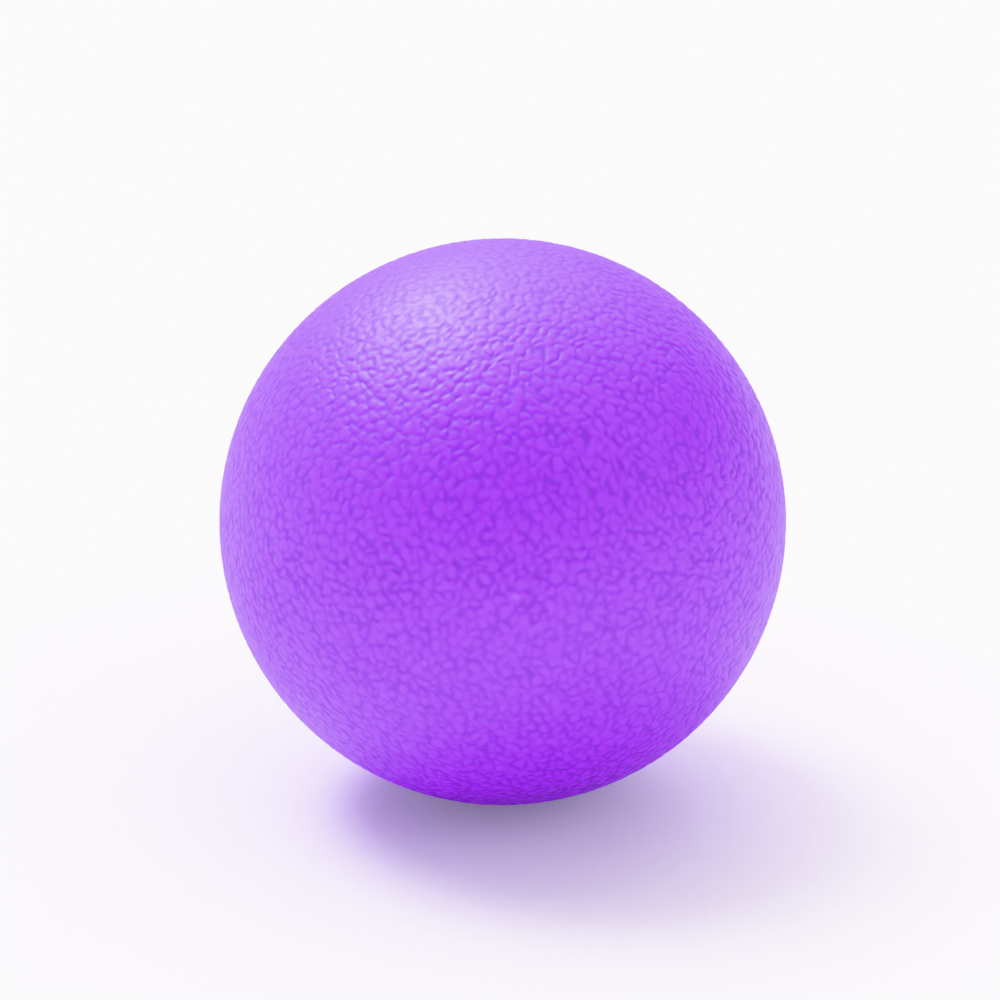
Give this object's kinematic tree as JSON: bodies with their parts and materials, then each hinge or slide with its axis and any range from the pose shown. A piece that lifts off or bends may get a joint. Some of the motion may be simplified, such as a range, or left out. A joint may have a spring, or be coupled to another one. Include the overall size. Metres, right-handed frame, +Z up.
{
  "type": "massage ball",
  "caption": "Hand-size solid elastomer massage ball with a leather-grained cover, moulded in layers, for rolling under a muscle or squeezing.",
  "frame": {"origin": "centre of the ball", "axes": "+Z up from the point that the ball rests on, through its centre; every axis through the centre is one of symmetry outside, and inside the core's six pegs lie along X, Y and Z"},
  "size_m": [0.063, 0.063, 0.063],
  "materials": {
    "cover": "satin, moulded with a fine leather grain",
    "middle_layer": "matte, as moulded",
    "core": "matte, as moulded"
  },
  "bodies": {
    "root": {"core": "core", "middle_layer": "middle_layer", "outer_cover": "cover"}
  },
  "joints": []
}
